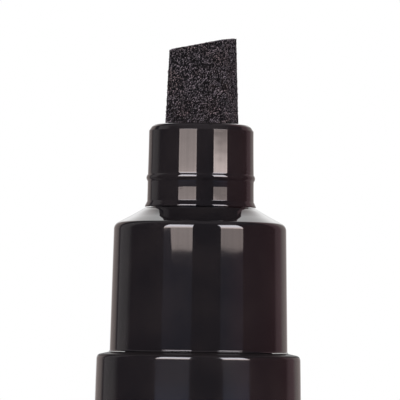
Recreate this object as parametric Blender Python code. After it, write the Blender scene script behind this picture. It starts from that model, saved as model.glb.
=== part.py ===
"""Refillable paint marker with a chisel nib and a spring valve, standing on its tail.

Lengths are in metres. +Z runs from the tail to the nib, and the origin is the centre of the
tail's flat end. Every moving piece slides along Z or turns about it.
"""

import math

import bmesh
import bpy
from mathutils import Vector

# Fits
SEAT_GAP = 0.0001      # between two faces that seat on each other
SLIDE_GAP = 0.0002     # round a piece that slides in, turns in or is pressed into another

# Barrel
BARREL_RADIUS = 0.01215
BARREL_LENGTH = 0.1019
BARREL_WALL = 0.0013
BARREL_NECKING = 0.00015           # radius lost at the ledge
BARREL_NECKING_LENGTH = 0.006
LEDGE_FILLET = 0.0006
LEDGE_DROP = 0.0002                # how far the ledge falls from the drum to its edge
LEDGE_WIDTH = 0.00153              # from the barrel's edge to the drum
MOUTH_WALL = 0.0026
MOUTH_LENGTH = 0.0115

# Screw thread between the barrel's mouth and the front housing
THREAD_PITCH = 0.003
THREAD_TURNS = 2.0
THREAD_DEPTH = 0.0006
THREAD_ROOT_WIDTH = 0.0011
THREAD_CREST_WIDTH = 0.0005
THREAD_SINK = 0.0004               # how far a ridge reaches into the wall that carries it
THREAD_TOP = 0.002                 # from the ledge down to the end of the housing's ridge

# Gasket under the drum
GASKET_WIDTH = 0.0011
GASKET_THICKNESS = 0.0009

# Front housing
DRUM_HEIGHT = 0.01466
DRUM_DRAFT = 0.00032
DRUM_FILLET = 0.0007
SHOULDER_HEIGHT = 0.0022
SHOULDER_LAND = 0.0001             # flat left round the collar's lip
SPIGOT_WALL = 0.0015
VALVE_SEAT_RISE = 0.003            # from the drum's underside up to the stop for the valve body

# Nib
NIB_WIDTH = 0.0076
NIB_DEPTH = 0.004
NIB_TIP_WIDTH = 0.0068
NIB_REACH = 0.01                   # highest corner above the collar
NIB_SLANT = math.radians(10.6)
NIB_TURN = math.radians(-20.7)
NIB_EDGE = 0.00012

# Nib collar
COLLAR_HEIGHT = 0.00984
COLLAR_WALL = 0.00105              # least wall between the nib's corners and the housing
COLLAR_STEP = 0.00054              # from the pressed-in spigot out to the visible wall
COLLAR_DRAFT = 0.00013
COLLAR_FILLET = 0.0007
COLLAR_FLOOR_GAP = 0.001           # from the valve body up to the end of the spigot
BEAD_RISE = 0.00355
BEAD_HEIGHT = 0.001
BEAD_PROUD = 0.00022
LIP_HEIGHT = 0.0007
LIP_PROUD = 0.00016

# Valve
VALVE_TRAVEL = 0.003
VALVE_WALL = 0.0013
SEAT_THICKNESS = 0.0015
STEM_RADIUS = 0.0016
STEM_SPARE = 0.0014                # room left under the nib when it is pressed right in
STEM_FLOW_GAP = 0.0006             # round the stem, for the paint
SEAL_LAND = 0.0012
SEAL_THICKNESS = 0.0009
DISC_RIM = 0.0002
DISC_THICKNESS = 0.0014
PIN_RADIUS = 0.0014
PIN_ENGAGEMENT = 0.0006
RETAINER_THICKNESS = 0.0013
FLOW_HOLE_RADIUS = 0.0008
FLOW_HOLES = 6

# Valve spring
SPRING_WIRE = 0.0005
SPRING_TURNS = 5
SPRING_PITCH = 0.00125
SPRING_PIN_GAP = 0.0005

# Tail plug and its seal
PLUG_FLANGE = 0.003
PLUG_DEPTH = 0.008
PLUG_FLOOR = 0.0034
PLUG_WALL = 0.0012
PLUG_SEAL_SECTION = 0.0015
PLUG_SEAL_RISE = 0.004
TAIL_FILLET = 0.0008

# Mixing balls
BALL_RADIUS = 0.003
BALL_GAP = 0.00015                 # from a ball to the middle of the barrel

# Facets
OUTER_SEGMENTS = 48
INNER_SEGMENTS = 32
THREAD_STEPS = 24
ARC_STEPS = 3
EDGE_FILLET = 0.0002               # small edges are broken by one facet
FILLET_SHARE = 0.45                # most of an edge that one fillet may take
SPRING_STEPS = 10
MERGE_DISTANCE = 0.000001

# Heights that pieces share, from the tail up
barrel_foot = PLUG_FLANGE + SEAT_GAP
ledge = barrel_foot + BARREL_LENGTH
drum_foot = ledge + SEAT_GAP
drum_top = drum_foot + DRUM_HEIGHT
shoulder_top = drum_top + SHOULDER_HEIGHT
collar_foot = shoulder_top + SEAT_GAP
collar_top = collar_foot + COLLAR_HEIGHT
valve_stop = drum_foot + VALVE_SEAT_RISE
valve_top = valve_stop - SEAT_GAP
cavity_top = valve_top - SEAT_THICKNESS
seal_top = cavity_top - SEAT_GAP
disc_top = seal_top - SEAL_THICKNESS - SEAT_GAP
disc_foot = disc_top - DISC_THICKNESS
spring_top = disc_foot - SEAT_GAP
spring_foot = spring_top - SPRING_TURNS * SPRING_PITCH - SPRING_WIRE
retainer_top = spring_foot - SEAT_GAP
valve_foot = retainer_top - RETAINER_THICKNESS
stem_top = valve_top + VALVE_TRAVEL + STEM_SPARE
nib_foot = stem_top + SEAT_GAP
gasket_floor = ledge - GASKET_THICKNESS - SEAT_GAP

# Radii that pieces share, from the barrel in and from the nib out
barrel_top_radius = BARREL_RADIUS - BARREL_NECKING
barrel_bore = BARREL_RADIUS - BARREL_WALL
mouth_radius = barrel_top_radius - MOUTH_WALL
spigot_radius = mouth_radius - THREAD_DEPTH - SLIDE_GAP
gasket_bore = spigot_radius + SLIDE_GAP
gasket_radius = gasket_bore + GASKET_WIDTH
housing_bore = spigot_radius - SPIGOT_WALL
drum_foot_radius = barrel_top_radius - LEDGE_WIDTH
drum_top_radius = drum_foot_radius - DRUM_DRAFT
passage_width = NIB_WIDTH + 2 * SLIDE_GAP
passage_depth = NIB_DEPTH + 2 * SLIDE_GAP
collar_spigot_radius = math.hypot(passage_width, passage_depth) / 2 + COLLAR_WALL
collar_radius = collar_spigot_radius + COLLAR_STEP
socket_radius = collar_spigot_radius + SLIDE_GAP
valve_radius = housing_bore - SLIDE_GAP
cavity_radius = valve_radius - VALVE_WALL
seat_hole = STEM_RADIUS + STEM_FLOW_GAP
seal_radius = seat_hole + SEAL_LAND
spring_radius = PIN_RADIUS + SPRING_PIN_GAP + SPRING_WIRE / 2

# Colours of the mouldings, the felt, the rubber and the metal
BLACK_GLOSS = (0.012, 0.011, 0.012)
CHARCOAL_FELT = (0.03, 0.03, 0.032)
SOFT_RUBBER = (0.02, 0.02, 0.02)
PALE_PLASTIC = (0.72, 0.72, 0.7)
STEEL = (0.62, 0.62, 0.64)


def clear_scene():
    for item in list(bpy.data.objects):
        bpy.data.objects.remove(item, do_unlink=True)


def finish(name, colour, roughness, metallic=0.0):
    """Plain material of one piece."""
    made = bpy.data.materials.new(name)
    made.use_nodes = True
    shader = made.node_tree.nodes["Principled BSDF"]
    shader.inputs["Base Color"].default_value = (*colour, 1.0)
    shader.inputs["Roughness"].default_value = roughness
    shader.inputs["Metallic"].default_value = metallic
    return made


def group(name, parent=None):
    """Empty on the marker's axis that carries the pieces of one body."""
    empty = bpy.data.objects.new(name, None)
    empty.parent = parent
    bpy.context.scene.collection.objects.link(empty)
    return empty


def add_piece(name, data, carrier, material):
    """Object of a mesh or a curve, carried by a group's empty."""
    piece = bpy.data.objects.new(name, data)
    bpy.context.scene.collection.objects.link(piece)
    piece.parent = carrier
    data.materials.append(material)
    return piece


def add_guide(name, mesh):
    """Shape that only cuts or joins another piece."""
    guide = bpy.data.objects.new(name, mesh)
    bpy.context.scene.collection.objects.link(guide)
    guide.hide_render = True
    guide.display_type = "WIRE"
    return guide


def combine(piece, guide, operation):
    """Cut a guide out of a piece, or join it on."""
    modifier = piece.modifiers.new(guide.name, "BOOLEAN")
    modifier.operation = operation
    modifier.solver = "EXACT"
    modifier.object = guide


def rounded(outline):
    """Points along (radius, height, fillet) corners: a fillet is an arc, or one facet if it is small."""
    points = []
    for index, (radius, height, fillet) in enumerate(outline):
        corner = Vector((radius, height))
        if not fillet:
            points.append(corner)
            continue
        to_last = Vector(outline[index - 1][:2]) - corner
        to_next = Vector(outline[(index + 1) % len(outline)][:2]) - corner
        half_angle = to_last.angle(to_next) / 2
        room = FILLET_SHARE * min(to_last.length, to_next.length)
        reach = min(fillet / math.tan(half_angle), room)
        to_last.normalize()
        to_next.normalize()
        centre = corner + (to_last + to_next) * reach / (1 + to_last.dot(to_next))
        first_spoke = corner + to_last * reach - centre
        last_spoke = corner + to_next * reach - centre
        steps = ARC_STEPS if fillet > EDGE_FILLET else 1
        for step in range(steps + 1):
            spoke = first_spoke.slerp(last_spoke, step / steps)
            points.append(centre + spoke * first_spoke.length)
    return points


def turned(name, outline, carrier, material, segments):
    """Turned piece: the outline runs down its outer side, and from axis to axis if it is solid."""
    points = rounded(outline)
    edges = [(index, index + 1) for index in range(len(points) - 1)]
    if points[0].x > 0:
        edges.append((len(points) - 1, 0))
    mesh = bpy.data.meshes.new(name)
    mesh.from_pydata([(point.x, 0.0, point.y) for point in points], edges, [])
    piece = add_piece(name, mesh, carrier, material)
    screw = piece.modifiers.new("turn", "SCREW")
    screw.steps = segments
    screw.render_steps = segments
    screw.use_merge_vertices = True
    screw.merge_threshold = MERGE_DISTANCE
    screw.use_smooth_shade = True
    return piece


def built(name, build_faces):
    """Mesh made by a function that fills a bmesh, with its faces pointing out."""
    work = bmesh.new()
    build_faces(work)
    bmesh.ops.recalc_face_normals(work, faces=work.faces)
    mesh = bpy.data.meshes.new(name)
    work.to_mesh(mesh)
    work.free()
    return mesh


def lofted(work, rings):
    """Closed tube of faces through rings of points."""
    loops = [[work.verts.new(point) for point in ring] for ring in rings]
    for lower, upper in zip(loops, loops[1:]):
        for index in range(len(lower)):
            following = (index + 1) % len(lower)
            work.faces.new((lower[index], lower[following], upper[following], upper[index]))
    work.faces.new(loops[0])
    work.faces.new(loops[-1])


def thread_ridge(name, wall_radius, direction, start):
    """Right-hand ridge on a wall, pointing out (direction 1) or in (direction -1)."""
    root = wall_radius - direction * THREAD_SINK
    crest = wall_radius + direction * THREAD_DEPTH
    section = [
        (root, -THREAD_ROOT_WIDTH / 2),
        (crest, -THREAD_CREST_WIDTH / 2),
        (crest, THREAD_CREST_WIDTH / 2),
        (root, THREAD_ROOT_WIDTH / 2),
    ]
    rings = []
    for step in range(round(THREAD_TURNS * THREAD_STEPS) + 1):
        turn = step / THREAD_STEPS
        angle = turn * math.tau
        middle = start + turn * THREAD_PITCH
        rings.append([
            (radius * math.cos(angle), radius * math.sin(angle), middle + offset)
            for radius, offset in section
        ])
    return add_guide(name, built(name, lambda work: lofted(work, rings)))


def make_barrel(carrier):
    cone = barrel_bore - mouth_radius
    mouth_floor = ledge - MOUTH_LENGTH
    outline = [
        (drum_foot_radius, ledge, 0),
        (barrel_top_radius, ledge - LEDGE_DROP, LEDGE_FILLET),
        (BARREL_RADIUS, ledge - BARREL_NECKING_LENGTH, 0),
        (BARREL_RADIUS, barrel_foot, EDGE_FILLET),
        (barrel_bore, barrel_foot, 0),
        (barrel_bore, mouth_floor - cone, 0),
        (mouth_radius, mouth_floor, 0),
        (mouth_radius, gasket_floor, 0),
        (gasket_radius + SLIDE_GAP, gasket_floor, 0),
        (gasket_radius + SLIDE_GAP, ledge, 0),
    ]
    material = finish("barrel_black", BLACK_GLOSS, 0.12)
    barrel = turned("barrel", outline, carrier, material, OUTER_SEGMENTS)
    start = ledge - THREAD_TOP - (THREAD_TURNS + 0.5) * THREAD_PITCH
    combine(barrel, thread_ridge("mouth_thread", mouth_radius, -1, start), "UNION")


def make_tail_plug(carrier):
    plug_top = PLUG_FLANGE + PLUG_DEPTH
    spigot = barrel_bore - SLIDE_GAP
    seal_outer = barrel_bore - SEAT_GAP
    groove_radius = seal_outer - PLUG_SEAL_SECTION - SEAT_GAP
    groove_middle = PLUG_FLANGE + PLUG_SEAL_RISE
    groove_half = PLUG_SEAL_SECTION / 2 + SLIDE_GAP
    cup_radius = groove_radius - PLUG_WALL
    outline = [
        (0, PLUG_FLOOR, 0),
        (cup_radius, PLUG_FLOOR, EDGE_FILLET),
        (cup_radius, plug_top, 0),
        (spigot, plug_top, EDGE_FILLET),
        (spigot, groove_middle + groove_half, 0),
        (groove_radius, groove_middle + groove_half, 0),
        (groove_radius, groove_middle - groove_half, 0),
        (spigot, groove_middle - groove_half, 0),
        (spigot, PLUG_FLANGE, 0),
        (BARREL_RADIUS, PLUG_FLANGE, EDGE_FILLET),
        (BARREL_RADIUS, 0, TAIL_FILLET),
        (0, 0, 0),
    ]
    material = finish("tail_plug_black", BLACK_GLOSS, 0.15)
    turned("tail_plug", outline, carrier, material, OUTER_SEGMENTS)

    bpy.ops.mesh.primitive_torus_add(
        major_radius=seal_outer - PLUG_SEAL_SECTION / 2,
        minor_radius=PLUG_SEAL_SECTION / 2,
        major_segments=OUTER_SEGMENTS,
        minor_segments=8,
        location=(0, 0, groove_middle),
    )
    seal = bpy.context.object
    seal.name = "tail_plug_seal"
    seal.parent = carrier
    seal.data.materials.append(finish("tail_plug_seal_rubber", SOFT_RUBBER, 0.6))
    seal.data.shade_smooth()


def make_head_gasket(carrier):
    outline = [
        (gasket_radius, ledge, 0),
        (gasket_radius, ledge - GASKET_THICKNESS, 0),
        (gasket_bore, ledge - GASKET_THICKNESS, 0),
        (gasket_bore, ledge, 0),
    ]
    material = finish("head_gasket_rubber", SOFT_RUBBER, 0.65)
    turned("head_gasket", outline, carrier, material, OUTER_SEGMENTS)


def collar_wall(height):
    """Radius of the collar's drafted wall at a height."""
    return collar_radius + COLLAR_DRAFT * (collar_top - height) / COLLAR_HEIGHT


def make_front_housing(carrier):
    shoulder_radius = collar_wall(collar_foot) + LIP_PROUD + SHOULDER_LAND
    outline = [
        (socket_radius, shoulder_top, 0),
        (shoulder_radius, shoulder_top, 0),
        (drum_top_radius, drum_top, DRUM_FILLET),
        (drum_foot_radius, drum_foot, EDGE_FILLET),
        (spigot_radius, drum_foot, 0),
        (spigot_radius, valve_foot, EDGE_FILLET),
        (housing_bore, valve_foot, 0),
        (housing_bore, valve_stop, 0),
        (socket_radius, valve_stop, 0),
    ]
    material = finish("front_housing_black", BLACK_GLOSS, 0.1)
    housing = turned("front_housing", outline, carrier, material, OUTER_SEGMENTS)
    start = ledge - THREAD_TOP - THREAD_TURNS * THREAD_PITCH
    combine(housing, thread_ridge("spigot_thread", spigot_radius, 1, start), "UNION")


def make_nib_collar(carrier):
    bead = collar_foot + BEAD_RISE
    bead_top = bead + BEAD_HEIGHT / 2
    bead_foot = bead - BEAD_HEIGHT / 2
    lip_top = collar_foot + LIP_HEIGHT
    lip_radius = collar_wall(collar_foot) + LIP_PROUD
    spigot_end = valve_stop + COLLAR_FLOOR_GAP
    outline = [
        (0, collar_top, 0),
        (collar_wall(collar_top), collar_top, COLLAR_FILLET),
        (collar_wall(bead_top), bead_top, 0),
        (collar_wall(bead) + BEAD_PROUD, bead, BEAD_HEIGHT),
        (collar_wall(bead_foot), bead_foot, 0),
        (collar_wall(lip_top), lip_top, 0),
        (lip_radius, lip_top - LIP_PROUD, 0),
        (lip_radius, collar_foot, EDGE_FILLET),
        (collar_spigot_radius, collar_foot, 0),
        (collar_spigot_radius, spigot_end, EDGE_FILLET),
        (0, spigot_end, 0),
    ]
    material = finish("nib_collar_black", BLACK_GLOSS, 0.1)
    collar = turned("nib_collar", outline, carrier, material, OUTER_SEGMENTS)
    margin = COLLAR_HEIGHT
    rings = [
        rectangle(passage_width, passage_depth, spigot_end - margin),
        rectangle(passage_width, passage_depth, collar_top + margin),
    ]
    passage = add_guide("nib_passage", built("nib_passage", lambda work: lofted(work, rings)))
    passage.rotation_euler.z = NIB_TURN
    combine(collar, passage, "DIFFERENCE")


def rectangle(width, depth, height, slope=0.0):
    """Corners of a flat section, whose height rises with X by the slope."""
    sides = ((-1, -1), (1, -1), (1, 1), (-1, 1))
    return [
        (x * width / 2, y * depth / 2, height + x * width / 2 * slope)
        for x, y in sides
    ]


def make_nib(carrier):
    slope = math.tan(NIB_SLANT)
    tip_middle = collar_top + NIB_REACH - NIB_TIP_WIDTH / 2 * slope
    rings = [
        rectangle(NIB_WIDTH, NIB_DEPTH, nib_foot),
        rectangle(NIB_WIDTH, NIB_DEPTH, collar_top),
        rectangle(NIB_TIP_WIDTH, NIB_DEPTH, tip_middle, slope),
    ]
    mesh = built("nib", lambda work: lofted(work, rings))
    nib = add_piece("nib", mesh, carrier, finish("nib_felt", CHARCOAL_FELT, 0.95))
    nib.rotation_euler.z = NIB_TURN
    bevel = nib.modifiers.new("worn_edges", "BEVEL")
    bevel.width = NIB_EDGE
    bevel.segments = 1


def make_valve_body(carrier):
    outline = [
        (seat_hole, valve_top, 0),
        (valve_radius, valve_top, EDGE_FILLET),
        (valve_radius, valve_foot, 0),
        (cavity_radius, valve_foot, 0),
        (cavity_radius, cavity_top, 0),
        (seat_hole, cavity_top, 0),
    ]
    material = finish("valve_body_plastic", PALE_PLASTIC, 0.4)
    turned("valve_body", outline, carrier, material, INNER_SEGMENTS)


def make_valve_stem(carrier):
    pin_end = retainer_top - PIN_ENGAGEMENT
    outline = [
        (0, stem_top, 0),
        (STEM_RADIUS, stem_top, EDGE_FILLET),
        (STEM_RADIUS, disc_top, 0),
        (seal_radius + DISC_RIM, disc_top, 0),
        (seal_radius + DISC_RIM, disc_foot, EDGE_FILLET),
        (PIN_RADIUS, disc_foot, 0),
        (PIN_RADIUS, pin_end, EDGE_FILLET),
        (0, pin_end, 0),
    ]
    material = finish("valve_stem_plastic", PALE_PLASTIC, 0.35)
    turned("valve_stem", outline, carrier, material, INNER_SEGMENTS)


def make_valve_seal(carrier):
    bore = STEM_RADIUS + SLIDE_GAP
    outline = [
        (seal_radius, seal_top, EDGE_FILLET),
        (seal_radius, seal_top - SEAL_THICKNESS, 0),
        (bore, seal_top - SEAL_THICKNESS, 0),
        (bore, seal_top, 0),
    ]
    material = finish("valve_seal_rubber", SOFT_RUBBER, 0.6)
    turned("valve_seal", outline, carrier, material, INNER_SEGMENTS)


def make_spring_retainer(carrier):
    bore = PIN_RADIUS + SLIDE_GAP
    radius = cavity_radius - SLIDE_GAP
    outline = [
        (radius, retainer_top, EDGE_FILLET),
        (radius, valve_foot, 0),
        (bore, valve_foot, 0),
        (bore, retainer_top, 0),
    ]
    material = finish("spring_retainer_plastic", PALE_PLASTIC, 0.4)
    retainer = turned("spring_retainer", outline, carrier, material, INNER_SEGMENTS)
    hole_circle = (spring_radius + SPRING_WIRE / 2 + radius) / 2
    middle = (retainer_top + valve_foot) / 2

    def drill(work):
        for index in range(FLOW_HOLES):
            angle = index * math.tau / FLOW_HOLES
            made = bmesh.ops.create_cone(
                work, cap_ends=True, segments=12, depth=3 * RETAINER_THICKNESS,
                radius1=FLOW_HOLE_RADIUS, radius2=FLOW_HOLE_RADIUS,
            )
            place = Vector((math.cos(angle), math.sin(angle), 0)) * hole_circle
            place.z = middle
            bmesh.ops.translate(work, verts=made["verts"], vec=place)

    combine(retainer, add_guide("flow_holes", built("flow_holes", drill)), "DIFFERENCE")


def make_valve_spring(carrier):
    """Compression spring as one unbroken tube, with the least gap between its turns printed."""
    points = []
    for step in range(SPRING_TURNS * SPRING_STEPS + 1):
        turn = step / SPRING_STEPS
        angle = turn * math.tau
        height = spring_foot + SPRING_WIRE / 2 + turn * SPRING_PITCH
        points.append(Vector((spring_radius * math.cos(angle), spring_radius * math.sin(angle), height)))
    curve = bpy.data.curves.new("valve_spring", "CURVE")
    curve.dimensions = "3D"
    curve.bevel_depth = SPRING_WIRE / 2
    curve.bevel_resolution = 1
    curve.use_fill_caps = True
    spline = curve.splines.new("POLY")
    spline.points.add(len(points) - 1)
    for spot, point in zip(spline.points, points):
        spot.co = (*point, 1.0)
    add_piece("valve_spring", curve, carrier, finish("valve_spring_steel", STEEL, 0.3, 1.0))
    half_turn = SPRING_STEPS // 2
    least = min(
        (points[later] - points[earlier]).length
        for earlier in range(len(points))
        for later in range(earlier + half_turn, len(points))
    )
    print(f"valve_spring: least gap to itself {(least - SPRING_WIRE) * 1000:.2f} mm")


def make_mixing_ball(name, side, carrier):
    bpy.ops.mesh.primitive_ico_sphere_add(
        subdivisions=3,
        radius=BALL_RADIUS,
        location=(side * (BALL_RADIUS + BALL_GAP), 0, PLUG_FLOOR + SEAT_GAP + BALL_RADIUS),
    )
    ball = bpy.context.object
    ball.name = name
    ball.parent = carrier
    ball.data.materials.append(finish(f"{name}_steel", STEEL, 0.25, 1.0))
    ball.data.shade_smooth()


def main():
    clear_scene()
    marker = group("marker")
    head = group("head", marker)
    plunger = group("plunger", head)
    make_barrel(marker)
    make_tail_plug(marker)
    make_head_gasket(marker)
    make_front_housing(head)
    make_nib_collar(head)
    make_valve_body(head)
    make_spring_retainer(head)
    make_valve_spring(head)
    make_valve_stem(plunger)
    make_valve_seal(plunger)
    make_nib(plunger)
    make_mixing_ball("mixing_ball_1", -1, marker)
    make_mixing_ball("mixing_ball_2", 1, marker)
    print(f"marker: {(collar_top + NIB_REACH) * 1000:.1f} mm tall, {BARREL_RADIUS * 2000:.1f} mm thick")


main()
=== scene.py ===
# %% [markdown]
# # The head of a paint marker, finished in Blender
# The marker is a black moulded barrel with a stepped head, a glossy collar and a felt chisel nib.
# Its working model already exists as plain solids, one for each piece. This script dresses them:
# turned shells with true fillets, a felt nib with loose fibres, and a finish for every surface.

# %% Load the working model
import math

import bmesh
import bpy
from mathutils import Matrix, Vector, noise


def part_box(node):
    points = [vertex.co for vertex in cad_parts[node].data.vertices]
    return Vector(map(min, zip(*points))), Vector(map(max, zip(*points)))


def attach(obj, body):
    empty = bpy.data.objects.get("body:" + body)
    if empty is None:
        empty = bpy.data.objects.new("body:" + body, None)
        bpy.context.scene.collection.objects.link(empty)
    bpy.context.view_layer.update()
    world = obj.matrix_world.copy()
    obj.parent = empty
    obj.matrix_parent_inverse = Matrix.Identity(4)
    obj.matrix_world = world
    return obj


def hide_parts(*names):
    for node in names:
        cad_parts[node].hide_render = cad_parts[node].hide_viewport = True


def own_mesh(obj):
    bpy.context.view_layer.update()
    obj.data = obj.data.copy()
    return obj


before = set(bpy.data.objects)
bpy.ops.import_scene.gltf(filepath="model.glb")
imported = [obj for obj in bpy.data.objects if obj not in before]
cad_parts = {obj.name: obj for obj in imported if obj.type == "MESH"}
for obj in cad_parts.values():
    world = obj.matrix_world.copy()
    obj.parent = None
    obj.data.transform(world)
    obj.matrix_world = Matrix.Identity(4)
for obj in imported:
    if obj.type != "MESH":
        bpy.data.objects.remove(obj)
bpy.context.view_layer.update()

MM = 0.001
print("pieces in the model:", ", ".join(sorted(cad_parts)))

# %% [markdown]
# ## The camera
# A long lens far away keeps the edges of the round steps almost straight, as they are in the
# photograph. The picture is 400 pixels wide at 8.5 pixels to the millimetre, which fixes the width
# of the view, and the lens follows from that and the distance. The rims of the collar and the drum
# bow upwards a little, so the camera is lower than they are: it stands level with the barrel's
# ledge and looks up slightly. A small roll makes the marker lean to the right.

# %% Place the camera
PHOTO_SIZE = 400
PIXELS_PER_MM = 8.5
COLLAR_TOP_ROW = 124
AXIS_COLUMN = 200.5
LENS_DISTANCE = 0.588
CAMERA_HEIGHT = 0.104
CAMERA_ROLL = math.radians(0.74)
SENSOR = 36.0
NEAR_CLIP = 0.01

pixel = MM / PIXELS_PER_MM
collar_low, collar_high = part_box("nib_collar")
view_centre = Vector((
    (PHOTO_SIZE / 2 - AXIS_COLUMN) * pixel,
    0.0,
    collar_high.z - (PHOTO_SIZE / 2 - COLLAR_TOP_ROW) * pixel,
))
camera_data = bpy.data.cameras.new("photo_camera")
camera_data.sensor_width = SENSOR
camera_data.lens = SENSOR * LENS_DISTANCE / (PHOTO_SIZE * pixel)
camera_data.clip_start = NEAR_CLIP
camera = bpy.data.objects.new("photo_camera", camera_data)
camera.location = (view_centre.x, -LENS_DISTANCE, CAMERA_HEIGHT)
aim = (camera.location - view_centre).to_track_quat("Z", "Y").to_matrix()
camera.rotation_euler = (aim @ Matrix.Rotation(CAMERA_ROLL, 3, "Z")).to_euler()
bpy.context.scene.collection.objects.link(camera)
bpy.context.scene.camera = camera
print(f"camera: {camera_data.lens:.0f} mm lens, aimed {view_centre.z / MM:.1f} mm up")

# %% [markdown]
# ## Expressions for node trees
# Node trees get long when every sum is three lines of code. A small class that wraps one output
# socket lets Python's own operators add the Math nodes, so a mask can be written as
# `1 - scratches * 0.3`. Every other node comes from its `node` method, which makes the node, sets
# its options first and then fills or links its sockets. Geometry trees use the same class.

# %% A socket that understands arithmetic
class Wire:
    """One output socket of a node tree; without a socket it only starts new nodes."""

    def __init__(self, tree, socket=None):
        self.tree = tree
        self.socket = socket

    def node(self, kind, settings=None, sockets=None, output=0):
        """Add a node, set its options, fill its sockets and return one of its outputs."""
        made = self.tree.nodes.new(kind)
        for name, value in (settings or {}).items():
            setattr(made, name, value)
        for key, value in (sockets or {}).items():
            if isinstance(value, Wire):
                self.tree.links.new(value.socket, made.inputs[key])
            else:
                made.inputs[key].default_value = value
        return Wire(self.tree, made.outputs[output] if len(made.outputs) else None)

    def sibling(self, output):
        """Another output of the same node."""
        return Wire(self.tree, self.socket.node.outputs[output])

    def split(self):
        """The three parts of a vector."""
        first = self.node("ShaderNodeSeparateXYZ", None, {0: self})
        return first, first.sibling("Y"), first.sibling("Z")

    def math(self, operation, *values):
        """A Math node on these values."""
        return self.node("ShaderNodeMath", {"operation": operation}, dict(enumerate(values)))

    def clamped(self):
        """This value, kept between 0 and 1."""
        return self.node("ShaderNodeClamp", None, {"Value": self})

    def between(self, low, high):
        """0 below low, 1 above high, with a soft step between them."""
        return self.node(
            "ShaderNodeMapRange",
            {"interpolation_type": "SMOOTHSTEP"},
            {"Value": self, "From Min": low, "From Max": high},
        )

    def mix(self, first, second):
        """Blend two colours by this value."""
        sockets = {"Factor": self, 6: first, 7: second}
        return self.node("ShaderNodeMix", {"data_type": "RGBA"}, sockets, 2)

    def __add__(self, other):
        return self.math("ADD", self, other)

    def __radd__(self, other):
        return self.math("ADD", other, self)

    def __sub__(self, other):
        return self.math("SUBTRACT", self, other)

    def __rsub__(self, other):
        return self.math("SUBTRACT", other, self)

    def __mul__(self, other):
        return self.math("MULTIPLY", self, other)

    def __rmul__(self, other):
        return self.math("MULTIPLY", other, self)


print("node expressions ready")

# %% [markdown]
# ## The studio
# Gloss black shows nothing but what stands round it, so the light is half of this finish. Two tall
# softboxes stand in front, left and right, and give the two pale stripes on every round step.
# Their lower edges are just above the marker's shoulder, which is why the stripes stop part of the
# way down the drum. The room behind the camera is dark, and the sheet behind the marker is white.
# Reflections see that room as a few soft patches of colour, each laid out by the direction in
# which the mirrored ray leaves: warm on the right, dim on the left, paler at the ceiling.

# %% The room that reflections see
WHITE = (1.0, 1.0, 1.0, 1.0)
ROOM_DARK = (0.028, 0.028, 0.04, 1.0)
ROOM_WARM = (0.15, 0.065, 0.075, 1.0)
ROOM_EDGE = (0.34, 0.21, 0.23, 1.0)
ROOM_LEFT = (0.07, 0.057, 0.073, 1.0)
CEILING = (0.2, 0.18, 0.2, 1.0)
SURROUND_GREY = (0.47, 0.4, 0.385, 1.0)
CARD_GREY = (0.32, 0.3, 0.31, 1.0)
WARM_SIDE = (0.5, 0.9)
LEFT_SIDE = (-0.7, -0.5)
EDGE_DEPTH = (0.44, 0.54)
EDGE_SIDE = (0.1, 0.3)
CEILING_RISE = (0.75, 0.95)
HORIZON = (-0.015, 0.002)
CARD_START = (-135, -131)
CARD_END = (-113, -100)
CARD_DIMMED = 0.5
SURROUND_DEPTH = (0.69, 0.8)
BACKDROP_DEPTH = (0.5, 0.7)
BACKDROP_SIDE = (0.12, 0.3)

scene = bpy.context.scene
scene.view_settings.view_transform = "Standard"
world = bpy.data.worlds.new("studio")
world.use_nodes = True
world.node_tree.nodes.clear()
scene.world = world
sky = Wire(world.node_tree)
toward_x, toward_y, toward_z = sky.node("ShaderNodeTexCoord", output="Generated").split()
turn = toward_x.math("ARCTAN2", toward_x, 0 - toward_y) * math.degrees(1)
front_room = toward_x.between(*WARM_SIDE).mix(ROOM_DARK, ROOM_WARM)
walls = toward_x.between(*LEFT_SIDE).mix(ROOM_LEFT, front_room)
side_wall = toward_y.between(*EDGE_DEPTH) * toward_x.between(*EDGE_SIDE)
room = toward_z.between(*CEILING_RISE).mix(side_wall.mix(walls, ROOM_EDGE), CEILING)
lower_half = 1 - toward_z.between(*HORIZON)
card_sides = turn.between(*CARD_START) * (1 - turn.between(*CARD_END))
card = card_sides * (1 - lower_half * CARD_DIMMED)
surround = toward_y.between(*SURROUND_DEPTH)
sideways = toward_x.math("ABSOLUTE", toward_x)
backdrop = toward_y.between(*BACKDROP_DEPTH) * (1 - sideways.between(*BACKDROP_SIDE))
surroundings = backdrop.mix(surround.mix(card.mix(room, CARD_GREY), SURROUND_GREY), WHITE)
print("room for reflections:", len(world.node_tree.nodes), "nodes")

# %% [markdown]
# The same world looks different to each kind of ray, which the Light Path node tells apart. The
# camera sees plain white, reflections see the room above, and matt surfaces get a weak even light.

# %% World: white to the camera, dark in front
AMBIENT = 0.15

reflected = sky.node("ShaderNodeBackground", None, {"Color": surroundings})
ambient = sky.node("ShaderNodeBackground", None, {"Color": WHITE, "Strength": AMBIENT})
seen = sky.node("ShaderNodeBackground", None, {"Color": WHITE})
camera_ray = sky.node("ShaderNodeLightPath", output="Is Camera Ray")
glossy_ray = camera_ray.sibling("Is Glossy Ray")
clear_ray = camera_ray.sibling("Is Transmission Ray")
mirrored = (glossy_ray + clear_ray).clamped()
lit = sky.node("ShaderNodeMixShader", None, {0: mirrored, 1: ambient, 2: reflected})
shown = sky.node("ShaderNodeMixShader", None, {0: camera_ray, 1: lit, 2: seen})
sky.node("ShaderNodeOutputWorld", None, {"Surface": shown})
print("world: white to the camera, ambient light", AMBIENT)

# %% [markdown]
# ### Lamps
# The stripes on the plastic need bright softboxes, but felt under lamps as bright would look much
# paler than its colour is written. So a softbox is two area lights: one that reflections see and
# matt surfaces don't, and a dimmer twin, the wash, that is the other way round. Two lamps in
# exactly one place lose light in Cycles, so the twin stands a few millimetres further away.

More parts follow.
